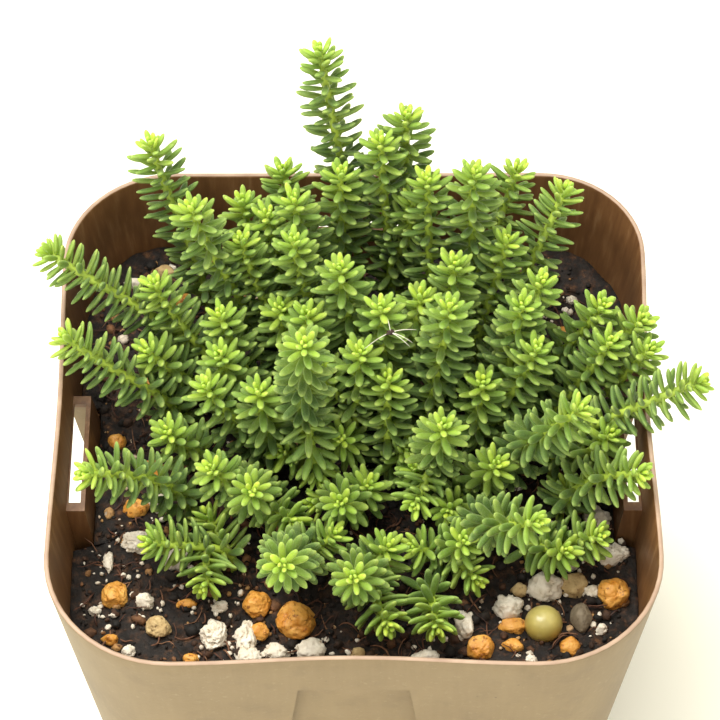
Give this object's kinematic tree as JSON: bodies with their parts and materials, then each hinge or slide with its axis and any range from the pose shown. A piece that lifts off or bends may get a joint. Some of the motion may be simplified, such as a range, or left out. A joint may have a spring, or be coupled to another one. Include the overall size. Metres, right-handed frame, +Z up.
{
  "type": "potted sedum",
  "caption": "Small sedum with many leafy stems, in gritty soil in a square thin plastic pot with a slotted panel in each side.",
  "frame": {"origin": "middle of the pot's underside, in the plane it stands on", "axes": "+Z up, -Y towards the front of the pot, +X to the right seen from the front"},
  "size_m": [0.1017, 0.0911, 0.1133],
  "materials": {
    "pot": "thin brown plastic, matte and dusty",
    "soil": "dark gritty potting mix",
    "sedum": "matte, finely rough green leaves",
    "clay_grain": "rough orange baked clay",
    "perlite": "rough off-white",
    "tan_stone": "rough tan",
    "grey_stone": "dull grey-brown",
    "fertiliser_ball": "smooth yellow-green coating"
  },
  "bodies": {
    "root": {"pot": "pot", "soil": "soil", "leafy_stem_01": "sedum", "leafy_stem_02": "sedum", "leafy_stem_03": "sedum", "leafy_stem_04": "sedum", "leafy_stem_05": "sedum", "leafy_stem_06": "sedum", "leafy_stem_07": "sedum", "leafy_stem_08": "sedum", "leafy_stem_09": "sedum", "leafy_stem_10": "sedum", "leafy_stem_11": "sedum", "leafy_stem_12": "sedum", "leafy_stem_13": "sedum", "leafy_stem_14": "sedum", "leafy_stem_15": "sedum", "leafy_stem_16": "sedum", "leafy_stem_17": "sedum", "leafy_stem_18": "sedum", "leafy_stem_19": "sedum", "leafy_stem_20": "sedum", "leafy_stem_21": "sedum", "leafy_stem_22": "sedum", "leafy_stem_23": "sedum", "leafy_stem_24": "sedum", "leafy_stem_25": "sedum", "leafy_stem_26": "sedum", "leafy_stem_27": "sedum", "leafy_stem_28": "sedum", "leafy_stem_29": "sedum", "leafy_stem_30": "sedum", "leafy_stem_31": "sedum", "leafy_stem_32": "sedum", "leafy_stem_33": "sedum", "leafy_stem_34": "sedum", "leafy_stem_35": "sedum", "leafy_stem_36": "sedum", "leafy_stem_37": "sedum", "leafy_stem_38": "sedum", "leafy_stem_39": "sedum", "leafy_stem_40": "sedum", "leafy_stem_41": "sedum", "leafy_stem_42": "sedum", "leafy_stem_43": "sedum", "leafy_stem_44": "sedum", "leafy_stem_45": "sedum", "clay_grain_1": "clay_grain", "clay_grain_2": "clay_grain", "clay_grain_3": "clay_grain", "clay_grain_4": "clay_grain", "clay_grain_5": "clay_grain", "perlite_1": "perlite", "perlite_2": "perlite", "perlite_3": "perlite", "perlite_4": "perlite", "tan_stone_1": "tan_stone", "grey_stone_1": "grey_stone", "fertiliser_ball_1": "fertiliser_ball"}
  },
  "joints": []
}
